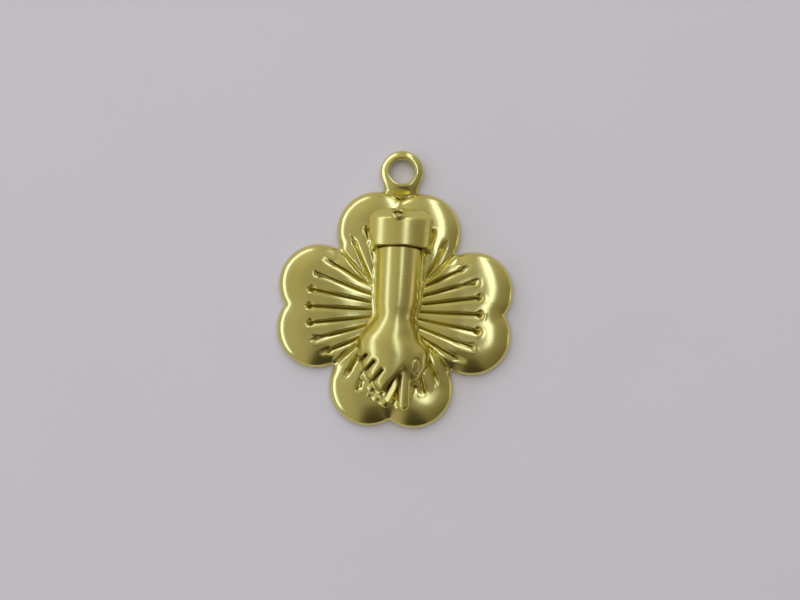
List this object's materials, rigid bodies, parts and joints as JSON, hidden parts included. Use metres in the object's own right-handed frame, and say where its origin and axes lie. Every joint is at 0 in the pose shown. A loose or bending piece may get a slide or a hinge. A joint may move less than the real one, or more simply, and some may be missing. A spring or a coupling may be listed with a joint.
{
  "type": "clover charm",
  "caption": "Brass four-leaf clover charm with domed, grooved leaves, a hanging eye at the top and a figa hand with a cuff on its front.",
  "frame": {"origin": "under the middle of the charm's length and width, on the surface that its back rim lies on", "axes": "+X to the charm's right as its front is seen, +Y towards the hanging eye, +Z out of the front"},
  "size_m": [0.0254, 0.03, 0.0054],
  "materials": {
    "polished_brass": "polished raw brass",
    "satin_brass": "satin raw brass",
    "brass_solder": "brass-coloured solder"
  },
  "bodies": {
    "root": {"clover_shell": "polished_brass", "hanging_eye": "polished_brass", "eye_solder_seam": "brass_solder", "hand_solder_bed": "brass_solder", "figa_hand": "satin_brass", "cuff": "satin_brass", "cuff_rivet": "satin_brass"}
  },
  "joints": []
}
